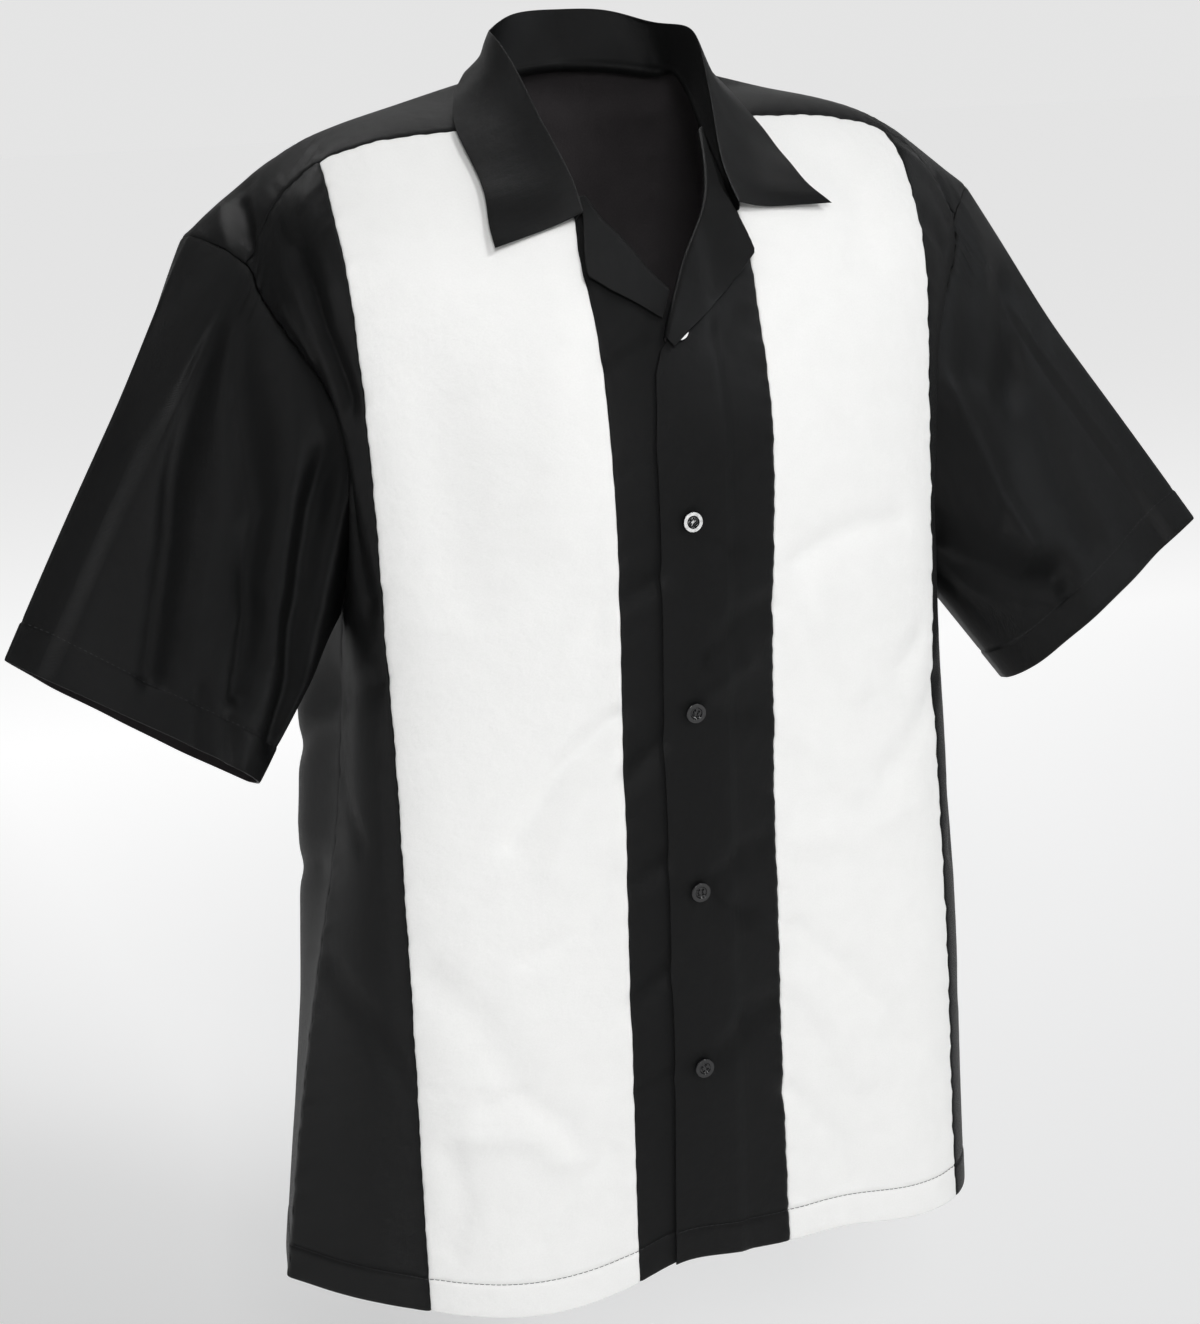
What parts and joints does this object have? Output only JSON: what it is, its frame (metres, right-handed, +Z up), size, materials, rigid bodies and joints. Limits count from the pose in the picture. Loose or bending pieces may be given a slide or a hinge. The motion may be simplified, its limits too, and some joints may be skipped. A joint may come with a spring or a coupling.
{
  "type": "bowling shirt",
  "caption": "Short-sleeved camp-collar bowling shirt in black twill with full-length white front panels and a buttoned front, hollow and filled out as if worn.",
  "frame": {"origin": "base of the neck, midway between the shoulders, where the wearer's shoulders carry the shirt", "axes": "+Z up, -Y out of the shirt's front, +X towards the wearer's left"},
  "size_m": [0.7912, 0.2844, 0.7974],
  "materials": {
    "black_twill": "black poly-cotton twill, soft dry sheen",
    "white_twill": "white poly-cotton twill, matt",
    "black_button": "polished black"
  },
  "bodies": {
    "root": {"back": "black_twill", "button_1": "black_button", "button_2": "black_button", "button_3": "black_button", "button_4": "black_button", "button_5": "black_button", "collar": "black_twill", "left_centre_front": "black_twill", "left_lapel": "black_twill", "left_side_front": "black_twill", "left_sleeve": "black_twill", "left_white_panel": "white_twill", "right_centre_front": "black_twill", "right_lapel": "black_twill", "right_side_front": "black_twill", "right_sleeve": "black_twill", "right_white_panel": "white_twill"}
  },
  "joints": []
}
